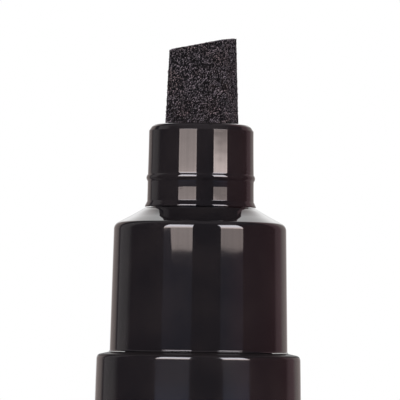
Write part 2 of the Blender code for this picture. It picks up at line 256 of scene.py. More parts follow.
# %% Area lights
WASH = 0.55
WASH_GAP = 0.005


def area_light(name, place, facing, width, height, radiance):
    """Area light without its node tree filled in, and the wire to start that from."""
    data = bpy.data.lights.new(name, "AREA")
    data.shape = "RECTANGLE"
    data.size = width
    data.size_y = height
    data.energy = radiance * math.pi * width * height
    data.use_nodes = True
    data.node_tree.nodes.clear()
    lamp = bpy.data.objects.new(name, data)
    lamp.location = place
    lamp.rotation_euler = (-facing).to_track_quat("Z", "Y").to_euler()
    lamp.visible_camera = False
    scene.collection.objects.link(lamp)
    print(f"{name}: {width:.2f} by {height:.2f} m")
    return lamp, Wire(data.node_tree)


def add_wash(lamp, away):
    """Dimmer twin that lights only matt surfaces; the lamp itself is left to reflections."""
    twin = lamp.copy()
    twin.name = f"{lamp.name}_wash"
    twin.data = lamp.data.copy()
    twin.data.energy = lamp.data.energy * WASH
    twin.location = lamp.location + away * WASH_GAP
    twin.visible_glossy = False
    lamp.visible_diffuse = False
    scene.collection.objects.link(twin)


print("a wash has", WASH, "of its softbox's energy")

# %% [markdown]
# Each softbox has its own small node tree, which makes it dim along its lower edge and brightest a
# hand's breadth above it, warm low down and cooler higher up. That edge is tilted and bowed a
# little, as the ends of the stripes are. Its dark lower part stands for the stand and the table
# under it, which the drum mirrors as a faint cool glow below the stripes.

# %% A softbox and its glow
SOFTBOX_DISTANCE = 0.75
SOFTBOX_FOOT = 0.07
SOFTBOX_TOP = 0.9
SOFTBOX_TILT = 0.0035
SOFTBOX_BOW = 0.009
SOFTBOX_EDGE_BLUR = 0.0004
SOFTBOX_HOT = (0.2, 0.5)
SOFTBOX_DIM = 0.65
SOFTBOX_RADIANCE = 11.5
SOFTBOX_TINT = (1.0, 0.85, 0.81, 1.0)
SOFTBOX_HIGH_TINT = (0.94, 0.91, 0.98, 1.0)
TINT_BLEND = (0.22, 0.42)
TOP_GLOW = 0.4
CUT_STEP = (-0.27, -0.18)
WRINKLES = 0.25
WRINKLE_SCALE = 9.0
UNLIT = (0.0, 0.0, 0.0, 1.0)
SKIRT_COLOUR = (0.006, 0.007, 0.0105, 1.0)
SKIRT_FOOT_COLOUR = (0.018, 0.023, 0.036, 1.0)
SKIRT_BLEND = (0.115, 0.14)


def add_softbox(name, inner_angle, outer_angle, edge, levels, climb, cut):
    """Upright light between two angles right of the camera, bright above its lower edge.

    levels are its brightness at that edge and what the heights of climb add to it; cut is how much
    higher the edge lies on the outer side.
    """
    middle = (inner_angle + outer_angle) / 2
    away = Vector((math.sin(middle), -math.cos(middle), 0.0))
    width = 2 * SOFTBOX_DISTANCE * math.tan(abs(outer_angle - inner_angle) / 2)
    tall = SOFTBOX_TOP - SOFTBOX_FOOT
    place = away * SOFTBOX_DISTANCE + Vector((0, 0, SOFTBOX_FOOT + tall / 2))
    lamp, sheet = area_light(name, place, -away, width, tall, SOFTBOX_RADIANCE)
    spot = sheet.node("ShaderNodeNewGeometry", output="Parametric")
    across, share = spot.split()[:2]
    height = share * tall + SOFTBOX_FOOT
    inward = (across - 0.5) * (1 if outer_angle < inner_angle else -1)
    bowed = inward * SOFTBOX_TILT + inward * inward * SOFTBOX_BOW
    above = height - edge - bowed - (1 - inward.between(*CUT_STEP)) * cut
    rise = height.between(*climb) * levels[1] + height.between(*SOFTBOX_HOT) * (1 - sum(levels))
    fall = height.between(SOFTBOX_DIM, SOFTBOX_TOP)
    level = (levels[0] + rise) * (1 - fall * (1 - TOP_GLOW))
    folds = {"Vector": spot, "Scale": WRINKLE_SCALE, "Detail": 3.0}
    cloth = sheet.node("ShaderNodeTexNoise", None, folds)
    creased = level * (1 - WRINKLES + cloth * (2 * WRINKLES))
    tint = height.between(*TINT_BLEND).mix(SOFTBOX_TINT, SOFTBOX_HIGH_TINT)
    bright = creased.mix(UNLIT, tint)
    window = above.between(-SOFTBOX_EDGE_BLUR, SOFTBOX_EDGE_BLUR)
    skirt = height.between(*SKIRT_BLEND).mix(SKIRT_FOOT_COLOUR, SKIRT_COLOUR)
    glow = sheet.node("ShaderNodeEmission", None, {"Color": window.mix(skirt, bright)})
    sheet.node("ShaderNodeOutputLight", None, {"Surface": glow})
    add_wash(lamp, away)


print("softboxes stand", SOFTBOX_DISTANCE, "m away")

# %% [markdown]
# The left softbox reaches almost to the camera, and its stripe is the wide one. The right one stands
# further round and brightens sooner above its lower edge. Angles count to the right from the
# direction of the camera, and the edges are heights above the floor.

# %% Left and right softbox
LEFT_SPAN = (math.radians(-9.8), math.radians(-49))
LEFT_EDGE = 0.1641
LEFT_LEVELS = (0.29, 0.42)
LEFT_CLIMB = (0.16, 0.24)
LEFT_CUT = 0.0068
RIGHT_SPAN = (math.radians(27.5), math.radians(59))
RIGHT_EDGE = 0.1629
RIGHT_LEVELS = (0.24, 0.56)
RIGHT_CLIMB = (0.175, 0.191)
RIGHT_CUT = 0.0
add_softbox("softbox_left", *LEFT_SPAN, LEFT_EDGE, LEFT_LEVELS, LEFT_CLIMB, LEFT_CUT)
add_softbox("softbox_right", *RIGHT_SPAN, RIGHT_EDGE, RIGHT_LEVELS, RIGHT_CLIMB, RIGHT_CUT)

# %% [markdown]
# The sheet behind the marker is lit as brightly as a studio background is, and the sloping shoulder
# mirrors it from above. A panel behind and above the marker stands for that part of the sheet; it
# fades at its rim, so that it leaves no outline on the plastic.

# %% Back panel
PANEL_DISTANCE = 0.9
PANEL_RISE = math.radians(36)
PANEL_SIZE = (0.62, 1.0)
PANEL_RADIANCE = 2.0
PANEL_FADE = 0.4

panel_away = Vector((0.0, math.cos(PANEL_RISE), math.sin(PANEL_RISE)))
panel_place = panel_away * PANEL_DISTANCE + Vector((0, 0, collar_low.z))
panel = area_light("back_panel", panel_place, -panel_away, *PANEL_SIZE, PANEL_RADIANCE)[1]
across, share = panel.node("ShaderNodeNewGeometry", output="Parametric").split()[:2]
rim_x = across.between(0.0, PANEL_FADE) * (1 - across.between(1 - PANEL_FADE, 1.0))
rim_y = share.between(0.0, PANEL_FADE) * (1 - share.between(1 - PANEL_FADE, 1.0))
panel_glow = panel.node("ShaderNodeEmission", None, {"Color": WHITE, "Strength": rim_x * rim_y})
panel.node("ShaderNodeOutputLight", None, {"Surface": panel_glow})

# %% [markdown]
# The floor is a pale disc that only carries the marker's shadow: most of what the camera sees of
# it is the same white as the background, and it fades out at its rim so that it has no horizon.
# Its underside is clear, so that the marker's tail can be looked at from below.

# %% Floor
FLOOR_RADIUS = 0.45
FLOOR_SEGMENTS = 96
FLOOR_GAP = 0.02 * MM
FLOOR_FADE = (FLOOR_RADIUS * 0.45, FLOOR_RADIUS * 0.98)
FLOOR_WHITE_SHARE = 0.55
FLOOR_PAPER = (0.86, 0.86, 0.86, 1.0)

floor_mesh = bpy.data.meshes.new("floor")
work = bmesh.new()
just_under = Matrix.Translation((0, 0, -FLOOR_GAP))
disc = {"segments": FLOOR_SEGMENTS, "radius": FLOOR_RADIUS, "matrix": just_under}
bmesh.ops.create_circle(work, cap_ends=True, **disc)
work.to_mesh(floor_mesh)
work.free()
floor = bpy.data.objects.new("floor", floor_mesh)
scene.collection.objects.link(floor)
floor_paint = bpy.data.materials.new("floor_paper")
floor_paint.use_nodes = True
floor_paint.node_tree.nodes.clear()
paper = Wire(floor_paint.node_tree)
spot = paper.node("ShaderNodeTexCoord", output="Object")
reach = paper.node("ShaderNodeVectorMath", {"operation": "LENGTH"}, {0: spot}, "Value")
fade = reach.between(*FLOOR_FADE)
matt = paper.node("ShaderNodeBsdfDiffuse", None, {"Color": FLOOR_PAPER})
white = paper.node("ShaderNodeEmission", None, {"Color": WHITE})
ray = paper.node("ShaderNodeLightPath", output="Is Camera Ray")
pale = paper.node("ShaderNodeMixShader", None, {0: ray * FLOOR_WHITE_SHARE, 1: matt, 2: white})
clear = paper.node("ShaderNodeBsdfTransparent")
underside = paper.node("ShaderNodeNewGeometry", output="Backfacing")
gone = fade.math("MAXIMUM", fade, underside)
faded = paper.node("ShaderNodeMixShader", None, {0: gone, 1: pale, 2: clear})
paper.node("ShaderNodeOutputMaterial", None, {"Surface": faded})
floor_mesh.materials.append(floor_paint)
floor.visible_glossy = False
print(f"floor: disc of {FLOOR_RADIUS} m radius")

# %% [markdown]
# ## Finishes
# Every finish starts from the Principled shader and a few shared steps: coordinates that a seed
# moves, so that no two pieces share their marks, noise as grain, and bump from a height. A turned
# piece can also have its surface unrolled, so that marks run round it.

# %% Helpers for finishes
def new_finish(name, ior=1.5):
    """Material with its Principled shader and a wire to start its expressions from."""
    made = bpy.data.materials.new(name)
    made.use_nodes = True
    shader = made.node_tree.nodes["Principled BSDF"]
    shader.inputs["IOR"].default_value = ior
    return made, shader, Wire(made.node_tree)


def connect(wire, shader, socket):
    """Link a wire to one socket of a shader."""
    wire.tree.links.new(wire.socket, shader.inputs[socket])


def placed(sheet, seed):
    """Object coordinates, moved by a seed so that no two pieces share their marks."""
    spot = sheet.node("ShaderNodeTexCoord", output="Object")
    shift = (seed, 0.7 * seed, 0.3 * seed)
    return sheet.node("ShaderNodeMapping", None, {"Vector": spot, "Location": shift})


def grain(place, scale, detail):
    """Noise from 0 to 1; a larger scale makes it finer, and detail adds smaller and smaller steps."""
    return place.node("ShaderNodeTexNoise", None, {"Vector": place, "Scale": scale, "Detail": detail})


def unrolled(sheet):
    """Position on a turned piece as (angle round it, 0, height)."""
    across, along, height = sheet.node("ShaderNodeTexCoord", output="Object").split()
    angle = across.math("ARCTAN2", along, across)
    return sheet.node("ShaderNodeCombineXYZ", None, {"X": angle, "Z": height})


def bump(height, distance):
    """Normal that shows a height between 0 and 1 as relief of this depth."""
    relief = {"Height": height, "Distance": distance, "Strength": 1.0}
    return height.node("ShaderNodeBump", None, relief)


print("helpers for finishes ready")

# %% [markdown]
# ### Black gloss plastic
# The barrel, housing, collar and plug are polished black mouldings. Up close such plastic isn't
# one flat black: it has a faint mottle, tiny ripples from the mould, and hairline marks that run
# round it where a cap has been twisted on and off. All of it stays weak, because the reflections
# in the photograph have clean edges. The barrel's ledge is the exception: it is rubbed dull, so
# plain matt black is mixed into its gloss. Each piece gets its own copy with its own seed.

# %% Finish: black gloss
PLASTIC_IOR = 1.58
POLISH = 0.018
RIPPLE = 0.0006 * MM
RUBBED = 0.7
RUBBED_BLEND = 0.12 * MM
MOTTLE_DEEP = (0.0094, 0.0085, 0.0095, 1.0)
MOTTLE_PALE = (0.015, 0.0129, 0.0133, 1.0)
MOTTLE_SCALE = 180.0
SMEAR_SCALE = 60.0
RIPPLE_SCALE = 500.0
HAIR_STRETCH = (2.0, 1.0, 6000.0)
MOTTLE_DULLS = 0.006
SMEAR_DULLS = 0.012
HAIR_DULLS = 0.02
HAIR_RELIEF = 0.05


def black_gloss(name, seed, polish=POLISH, ripple=RIPPLE, dull_above=None):
    """Polished plastic; above a height, if one is given, it is rubbed dull."""
    made, shader, sheet = new_finish(name, PLASTIC_IOR)
    place = placed(sheet, seed)
    mottle = grain(place, MOTTLE_SCALE, 4.0)
    smear = grain(place, SMEAR_SCALE, 3.0).between(0.5, 0.75)
    stretch = {"Vector": unrolled(sheet), "Scale": HAIR_STRETCH, "Location": (seed, 0, 0)}
    rings = sheet.node("ShaderNodeMapping", None, stretch)
    hairs = grain(rings, 1.0, 3.0).between(0.6, 0.72)
    dulled = polish + mottle * MOTTLE_DULLS + smear * SMEAR_DULLS + hairs * HAIR_DULLS
    relief = grain(place, RIPPLE_SCALE, 1.0) + hairs * HAIR_RELIEF
    connect(mottle.between(0.35, 0.7).mix(MOTTLE_DEEP, MOTTLE_PALE), shader, "Base Color")
    connect(dulled, shader, "Roughness")
    connect(bump(relief, ripple), shader, "Normal")
    if dull_above is not None:
        height = sheet.node("ShaderNodeTexCoord", output="Object").split()[2]
        rubbed = height.between(dull_above, dull_above + RUBBED_BLEND) * RUBBED
        gloss = Wire(made.node_tree, shader.outputs["BSDF"])
        dull = sheet.node("ShaderNodeBsdfDiffuse", None, {"Color": MOTTLE_PALE})
        surface = sheet.node("ShaderNodeMixShader", None, {0: rubbed, 1: gloss, 2: dull})
        connect(surface, made.node_tree.nodes["Material Output"], "Surface")
    return made


print("black gloss ready")

# %% [markdown]
# ## Turned mouldings
# Barrel, housing, collar and plug are all turned shapes, so one rule makes them: a profile goes
# once round the axis. The profile is a short list of corners, each with its own fillet, and the
# corners come from the boxes of the working model, so the shells sit exactly where its solids do.
# A point close beside each arc holds the smooth shading, so that the flat next to it stays flat.

# %% Profile corners with fillets
ARC_STEP = math.radians(6)
HOLD = 0.04 * MM
EDGE_SHARE_OF_SIDE = 0.45
CRISP_EDGE = 0.05 * MM
FINE_EDGE = 0.1 * MM
BROKEN_EDGE = 0.2 * MM
SOFT_EDGE = 0.3 * MM


def rounded(corners):
    """Points along (radius, height, fillet) corners, with a holding point beside each arc."""
    points = []
    for index, (radius, height, fillet) in enumerate(corners):
        corner = Vector((radius, height))
        if not fillet:
            points.append(corner)
            continue
        to_last = Vector(corners[index - 1][:2]) - corner
        to_next = Vector(corners[(index + 1) % len(corners)][:2]) - corner
        half_angle = to_last.angle(to_next) / 2
        room = EDGE_SHARE_OF_SIDE * min(to_last.length, to_next.length)
        reach = min(fillet / math.tan(half_angle), room)
        to_last.normalize()
        to_next.normalize()
        centre = corner + (to_last + to_next) * reach / (1 + to_last.dot(to_next))
        first = corner + to_last * reach
        last = corner + to_next * reach
        steps = max(2, math.ceil((math.pi - 2 * half_angle) / ARC_STEP))
        points.append(first + to_last * min(HOLD, reach / 10))
        for step in range(steps + 1):
            spoke = (first - centre).slerp(last - centre, step / steps)
            points.append(centre + spoke * (first - centre).length)
        points.append(last + to_next * min(HOLD, reach / 10))
    return points


print("a square corner becomes", len(rounded([(1, 1, 0), (2, 1, 0.2), (2, 0, 0)])) - 2, "points")

# %% [markdown]
# Geometry Nodes do what repeats: turning, winding and, later, scattering. Every tree has named
# inputs for its sizes, and it ends by making its instances real and giving them their finish. A
# tree is run once on a host object, and what comes out is kept as a plain mesh, so the finished
# piece carries no modifier.

# %% Geometry trees and their results
def new_tree(name, inputs):
    """Geometry tree with named inputs; returns it with a wire for each of them."""
    tree = bpy.data.node_groups.new(name, "GeometryNodeTree")
    tree.interface.new_socket("Geometry", in_out="OUTPUT", socket_type="NodeSocketGeometry")
    for label, kind in inputs.items():
        tree.interface.new_socket(label, in_out="INPUT", socket_type=kind)
    start = tree.nodes.new("NodeGroupInput")
    return tree, {label: Wire(tree, start.outputs[label]) for label in inputs}


def close_tree(shape, finish):
    """Every tree ends the same way: real geometry that carries its material."""
    real = shape.node("GeometryNodeRealizeInstances", None, {0: shape})
    painted = real.node("GeometryNodeSetMaterial", None, {0: real, "Material": finish})
    painted.node("NodeGroupOutput", None, {0: painted})


def settled(name, mesh, tree, values):
    """Run a tree on a mesh and return the result as a plain mesh at the origin."""
    host = bpy.data.objects.new(name, mesh)
    scene.collection.objects.link(host)
    modifier = host.modifiers.new(tree.name, "NODES")
    modifier.node_group = tree
    inputs = [item for item in tree.interface.items_tree if item.in_out == "INPUT"]
    sockets = {item.name: item.identifier for item in inputs}
    for label, value in values.items():
        modifier[sockets[label]] = value
    graph = bpy.context.evaluated_depsgraph_get()
    result = bpy.data.meshes.new_from_object(host.evaluated_get(graph))
    host.modifiers.clear()
    bpy.data.objects.remove(host, do_unlink=True)
    bpy.data.meshes.remove(mesh)
    result.name = name
    return result


print("geometry trees can be made and run")

# %% [markdown]
# Every mesh becomes a piece in the same way. Doubles are merged, faces are turned outwards, and the
# shading is smooth with sharp edges. Then the piece is told which body it moves with, and the plain
# solids that it takes the place of are hidden.

# %% Finished pieces
MERGE_DISTANCE = 0.0005 * MM
SHARP_ANGLE = math.radians(35)


def as_piece(name, mesh, body, replaced=()):
    """Object for a finished mesh: faces out, smooth with sharp edges, riding on its body."""
    work = bmesh.new()
    work.from_mesh(mesh)
    bmesh.ops.remove_doubles(work, verts=work.verts, dist=MERGE_DISTANCE)
    bmesh.ops.recalc_face_normals(work, faces=work.faces)
    work.to_mesh(mesh)
    work.free()
    mesh.shade_smooth()
    mesh.set_sharp_from_angle(angle=SHARP_ANGLE)
    piece = bpy.data.objects.new(name, mesh)
    scene.collection.objects.link(piece)
    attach(piece, body)
    if replaced:
        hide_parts(*replaced)
    print(f"{name}: {sum(len(face.vertices) - 2 for face in mesh.polygons)} triangles")
    return piece


print("edges sharper than", round(math.degrees(SHARP_ANGLE)), "degrees stay sharp")

# %% [markdown]
# The turning tree sweeps a profile along a circle. The Spin tool could do it too, but a tree keeps
# the number of segments as an input. The circle has a radius of its own, so the profile is moved
# inwards by as much before it is swept.

# %% Geometry Nodes: sweep a profile round the axis
SEGMENTS = 160
PATH_RADIUS = 1.0 * MM


def turning_tree():
    """Tree that sweeps a profile along a circle."""
    tree, given = new_tree("turned_moulding", {
        "Profile": "NodeSocketGeometry",
        "Segments": "NodeSocketInt",
        "Path radius": "NodeSocketFloat",
        "Finish": "NodeSocketMaterial",
    })
    sheet = Wire(tree)
    circle = sheet.node(
        "GeometryNodeCurvePrimitiveCircle", None,
        {"Resolution": given["Segments"], "Radius": given["Path radius"]},
    )
    profile = sheet.node("GeometryNodeMeshToCurve", None, {0: given["Profile"]})
    swept = sheet.node("GeometryNodeCurveToMesh", None, {"Curve": circle, "Profile Curve": profile})
    close_tree(swept, given["Finish"])
    return tree


TURNING = turning_tree()


def turned(name, points, finish):
    """Moulding from (radius, height) points: a closed ring, or open where it starts on the axis."""
    mesh = bpy.data.meshes.new(name)
    spots = [(point.x - PATH_RADIUS, -point.y, 0.0) for point in points]
    edges = [(index, index + 1) for index in range(len(spots) - 1)]
    if points[0].x > 0:
        edges.append((len(spots) - 1, 0))
    mesh.from_pydata(spots, edges, [])
    values = {"Segments": SEGMENTS, "Path radius": PATH_RADIUS, "Finish": finish}
    return settled(name, mesh, TURNING, values)


print("turning tree:", len(TURNING.nodes), "nodes")

# %% [markdown]
# ## Barrel and tail plug
# The barrel is a plain tube with a thick threaded mouth. Its ledge falls a little outwards and has
# a round edge, which catches the softboxes as two thin bright lines. The wall draws in very
# slightly towards the ledge, and it is less polished than the head, so its stripes are softer.

# %% Barrel
barrel_low, barrel_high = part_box("barrel")
housing_low, housing_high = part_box("front_housing")
gasket_low, gasket_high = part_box("head_gasket")
GAP = 0.2 * MM
SEAT_GAP = 0.1 * MM
GASKET_WIDTH = 1.1 * MM
BARREL_WALL = 1.3 * MM
BARREL_POLISH = 0.08
BORE_FILLET = 0.5 * MM
MOUTH_LENGTH = 11.5 * MM
THREAD_DEPTH = 0.6 * MM
NECKING = 0.15 * MM
NECKING_LENGTH = 6.0 * MM
NECKING_FILLET = 200 * MM
LEDGE_DROP = 0.33 * MM
LEDGE_FILLET = 0.6 * MM
RUBBED_DEPTH = 0.55 * MM

barrel_radius = barrel_high.x
ledge = barrel_high.z
drum_foot_radius = housing_high.x
spigot_radius = -gasket_low.x - GASKET_WIDTH - GAP
mouth_radius = spigot_radius + THREAD_DEPTH + GAP
gasket_seat = gasket_low.z - SEAT_GAP
bore = barrel_radius - BARREL_WALL
mouth_floor = ledge - MOUTH_LENGTH
barrel_corners = [
    (gasket_high.x + GAP, gasket_seat, 0),
    (gasket_high.x + GAP, ledge, CRISP_EDGE),
    (drum_foot_radius, ledge, SOFT_EDGE),
    (barrel_radius - NECKING, ledge - LEDGE_DROP, LEDGE_FILLET),
    (barrel_radius, ledge - NECKING_LENGTH, NECKING_FILLET),
    (barrel_radius, barrel_low.z, BROKEN_EDGE),
    (bore, barrel_low.z, BROKEN_EDGE),
    (bore, mouth_floor - bore + mouth_radius, BORE_FILLET),
    (mouth_radius, mouth_floor, SOFT_EDGE),
    (mouth_radius, gasket_seat, CRISP_EDGE),
]
rubbed_from = ledge - RUBBED_DEPTH
barrel_gloss = black_gloss("barrel_gloss", 1.0, polish=BARREL_POLISH, dull_above=rubbed_from)
barrel_mesh = turned("barrel_shell", rounded(barrel_corners), barrel_gloss)
as_piece("barrel_shell", barrel_mesh, "barrel_body", ["barrel"])

# %% [markdown]
# The far end of the barrel is closed by a plug with a rounded tail. It is hollow on the side of the
# paint, and a groove round it holds the rubber ring that seals it. Its profile starts and ends on
# the axis, so it needs no edge to close it.

# %% Tail plug
plug_low, plug_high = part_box("tail_plug")
PLUG_FLANGE = 3.0 * MM
PLUG_FLOOR = 3.4 * MM
PLUG_WALL = 2.7 * MM
GROOVE_LOW = 6.05 * MM
GROOVE_HIGH = 7.95 * MM
GROOVE_DEPTH = 1.5 * MM
TAIL_ROUND = 0.8 * MM

plug_radius = bore - GAP
plug_corners = [
    (0, PLUG_FLOOR, 0),
    (plug_radius - PLUG_WALL, PLUG_FLOOR, BROKEN_EDGE),
    (plug_radius - PLUG_WALL, plug_high.z, FINE_EDGE),
    (plug_radius, plug_high.z, BROKEN_EDGE),
    (plug_radius, GROOVE_HIGH, CRISP_EDGE),
    (plug_radius - GROOVE_DEPTH, GROOVE_HIGH, CRISP_EDGE),
    (plug_radius - GROOVE_DEPTH, GROOVE_LOW, CRISP_EDGE),
    (plug_radius, GROOVE_LOW, CRISP_EDGE),
    (plug_radius, PLUG_FLANGE, CRISP_EDGE),
    (plug_high.x, PLUG_FLANGE, BROKEN_EDGE),
    (plug_high.x, plug_low.z, TAIL_ROUND),
    (0, plug_low.z, 0),
]
plug_mesh = turned("tail_plug_shell", rounded(plug_corners), black_gloss("plug_gloss", 4.0))
as_piece("tail_plug_shell", plug_mesh, "barrel_body", ["tail_plug"])

# %% [markdown]
# ## Front housing
# The housing is the drum with its sloping shoulder, and below the ledge the spigot that screws into
# the barrel. The drum has the slight draft of a moulding that has to leave its mould, which is
# what tips its reflections up to the softboxes, and a small flare where it meets the ledge. The
# shoulder is very slightly hollow, which shows in the outline of the collar that it mirrors.

# %% Front housing
DRUM_DRAFT = 0.32 * MM
DRUM_FILLET = 0.95 * MM
DRUM_CLEARANCE = 0.03 * MM
SHOULDER_HEIGHT = 1.97 * MM
SHOULDER_RADIUS = 6.57 * MM
HOLLOW_RADIUS = 7.9 * MM
HOLLOW_DROP = 0.79 * MM
HOLLOW_FILLET = 20 * MM
FOOT_FLARE = 0.15 * MM
FOOT_EDGE = 0.03 * MM
SPIGOT_WALL = 1.5 * MM
VALVE_SEAT_RISE = 3.0 * MM
COLLAR_STEP = 0.54 * MM
SOLID_COLLAR_DRAFT = 0.13 * MM
SOLID_LIP_PROUD = 0.16 * MM

drum_foot = ledge + DRUM_CLEARANCE
shoulder_top = housing_high.z
drum_top = shoulder_top - SHOULDER_HEIGHT
socket_radius = collar_high.x - COLLAR_STEP - SOLID_COLLAR_DRAFT - SOLID_LIP_PROUD + GAP
valve_stop = ledge + SEAT_GAP + VALVE_SEAT_RISE
housing_bore = spigot_radius - SPIGOT_WALL
housing_corners = [
    (socket_radius, shoulder_top, CRISP_EDGE),
    (SHOULDER_RADIUS, shoulder_top, FINE_EDGE),
    (HOLLOW_RADIUS, shoulder_top - HOLLOW_DROP, HOLLOW_FILLET),
    (drum_foot_radius - DRUM_DRAFT, drum_top, DRUM_FILLET),
    (drum_foot_radius, drum_foot + FOOT_FLARE, FOOT_FLARE),
    (drum_foot_radius + FOOT_FLARE, drum_foot, FOOT_EDGE),
    (spigot_radius, drum_foot, FINE_EDGE),
    (spigot_radius, housing_low.z, SOFT_EDGE),
    (housing_bore, housing_low.z, FINE_EDGE),
    (housing_bore, valve_stop, FINE_EDGE),
    (socket_radius, valve_stop, FINE_EDGE),
]
housing_mesh = turned("housing_shell", rounded(housing_corners), black_gloss("housing_gloss", 2.0))
as_piece("housing_shell", housing_mesh, "head_body", ["front_housing"])

# %% [markdown]
# ## Threads and spring
# A thread ridge and a coil spring are the same idea: a small profile that follows a helix. One
# Geometry Nodes tree makes both. It winds a spiral, sweeps the profile along it and lets the
# profile shrink at both ends, so that a ridge runs out into its wall. A spring's end turns lie
# closer together than the rest, which a sine wave along the height does.

# %% Geometry Nodes: wind a profile along a helix
TURN_STEPS = 48
END_SIZE = 0.25


def winding_tree():
    """Tree that sweeps a profile along a helix."""
    tree, given = new_tree("winding", {
        "Profile": "NodeSocketGeometry",
        "Turns": "NodeSocketFloat",
        "Radius": "NodeSocketFloat",
        "Height": "NodeSocketFloat",
        "Foot": "NodeSocketFloat",
        "Crowding": "NodeSocketFloat",
        "Run-out": "NodeSocketFloat",
        "Finish": "NodeSocketMaterial",
    })
    sheet = Wire(tree)
    spiral = sheet.node("GeometryNodeCurveSpiral", None, {
        "Resolution": TURN_STEPS,
        "Rotations": given["Turns"],
        "Start Radius": given["Radius"],
        "End Radius": given["Radius"],
        "Height": given["Height"],
        "Reverse": True,
    })
    share = sheet.node("GeometryNodeSplineParameter", output="Factor")
    wave = share.math("SINE", share * math.tau) * (1 / math.tau)
    rise = given["Foot"] - wave * given["Crowding"] * given["Height"]
    shift = sheet.node("ShaderNodeCombineXYZ", None, {"Z": rise})
    helix = sheet.node("GeometryNodeSetPosition", None, {"Geometry": spiral, "Offset": shift})
    upright = sheet.node("GeometryNodeSetCurveNormal", {"mode": "Z_UP"}, {0: helix})
    from_end = share.math("MINIMUM", share, 1 - share)
    size = END_SIZE + from_end.between(0.0, given["Run-out"]) * (1 - END_SIZE)
    profile = sheet.node("GeometryNodeMeshToCurve", None, {0: given["Profile"]})
    swept = sheet.node(
        "GeometryNodeCurveToMesh", None,
        {"Curve": upright, "Profile Curve": profile, "Scale": size, "Fill Caps": True},
    )
    close_tree(swept, given["Finish"])
    return tree


WINDING = winding_tree()


def wound(name, outline, values):
    """Mesh of an (outward, up) outline wound along a helix."""
    mesh = bpy.data.meshes.new(name)
    edges = [(index, (index + 1) % len(outline)) for index in range(len(outline))]
    mesh.from_pydata([(outward, -up, 0.0) for outward, up in outline], edges, [])
    return settled(name, mesh, WINDING, values)


print("winding tree:", len(WINDING.nodes), "nodes")

# %% [markdown]
# Spigot and mouth carry one ridge each, with the same right-hand pitch. The two start half a pitch
# apart, so that each lies in the groove that the other leaves. A ridge reaches a little into its
# wall, because two surfaces that only touch would flicker.

# %% Thread ridges
THREAD_PITCH = 3.0 * MM
THREAD_TURNS = 2.0
THREAD_ROOT = 1.1 * MM
THREAD_CREST = 0.5 * MM
THREAD_SUNK = 0.4 * MM
THREAD_ROUND = 0.1 * MM
THREAD_RUN_OUT = 0.06
SPIGOT_THREAD_FOOT = 97.0 * MM
MOUTH_THREAD_FOOT = SPIGOT_THREAD_FOOT - THREAD_PITCH / 2


def ridge(name, wall, facing, foot, body, seed):
    """Thread ridge on a wall: facing is 1 for a ridge outside it and -1 for one inside."""
    top = THREAD_SUNK + THREAD_DEPTH
    corners = [
        (0, -THREAD_ROOT / 2, 0),
        (THREAD_SUNK, -THREAD_ROOT / 2, 0),
        (top, -THREAD_CREST / 2, THREAD_ROUND),
        (top, THREAD_CREST / 2, THREAD_ROUND),
        (THREAD_SUNK, THREAD_ROOT / 2, 0),
        (0, THREAD_ROOT / 2, 0),
    ]
    outline = [(facing * spot.x, spot.y) for spot in rounded(corners)]
    mesh = wound(name, outline, {
        "Turns": THREAD_TURNS,
        "Radius": wall - facing * THREAD_SUNK,
        "Height": THREAD_TURNS * THREAD_PITCH,
        "Foot": foot,
        "Crowding": 0.0,
        "Run-out": THREAD_RUN_OUT,
        "Finish": black_gloss(f"{name}_gloss", seed),
    })
    as_piece(name, mesh, body)


ridge("spigot_thread_ridge", spigot_radius, 1, SPIGOT_THREAD_FOOT, "head_body", 7.0)
ridge("mouth_thread_ridge", mouth_radius, -1, MOUTH_THREAD_FOOT, "barrel_body", 8.0)

# %% [markdown]
# ## Steel, rubber and pale plastic
# The valve inside is never polished black. Its spring is drawn wire, whose marks run along the
# wire; its cup and plunger are natural plastic, slightly cloudy; and its seals are soft rubber with
# a dusty bloom. The mixing balls are ground steel, with fine marks in all directions.

# %% Finishes for the inside
STEEL_DEEP = (0.52, 0.52, 0.54, 1.0)
STEEL_BRIGHT = (0.66, 0.66, 0.68, 1.0)
STEEL_RELIEF = 0.003 * MM
NATURAL_DEEP = (0.68, 0.68, 0.65, 1.0)
NATURAL_PALE = (0.76, 0.76, 0.74, 1.0)
NATURAL_RELIEF = 0.004 * MM
RUBBER_DEEP = (0.014, 0.014, 0.015, 1.0)
RUBBER_BLOOM = (0.03, 0.029, 0.029, 1.0)
RUBBER_RELIEF = 0.01 * MM


def bright_steel(name, seed, stretch):
    """Steel with fine marks, closer together along an axis whose stretch is larger."""
    made, shader, sheet = new_finish(name)
    drawn = {"Vector": placed(sheet, seed), "Scale": stretch}
    marks = grain(sheet.node("ShaderNodeMapping", None, drawn), 2600.0, 4.0)
    cloud = grain(placed(sheet, seed + 1), 420.0, 2.0).between(0.3, 0.7)
    connect(cloud.mix(STEEL_DEEP, STEEL_BRIGHT), shader, "Base Color")
    connect(0.16 + marks * 0.16, shader, "Roughness")
    connect(bump(marks, STEEL_RELIEF), shader, "Normal")
    shader.inputs["Metallic"].default_value = 1.0
    return made


def pale_plastic(name, seed):
    """Natural plastic, slightly cloudy."""
    made, shader, sheet = new_finish(name)
    place = placed(sheet, seed)
    cloud = grain(place, 300.0, 3.0).between(0.35, 0.7)
    fine = grain(place, 2400.0, 2.0)
    connect(cloud.mix(NATURAL_DEEP, NATURAL_PALE), shader, "Base Color")
    connect(0.38 + fine * 0.14, shader, "Roughness")
    connect(bump(fine, NATURAL_RELIEF), shader, "Normal")
    return made


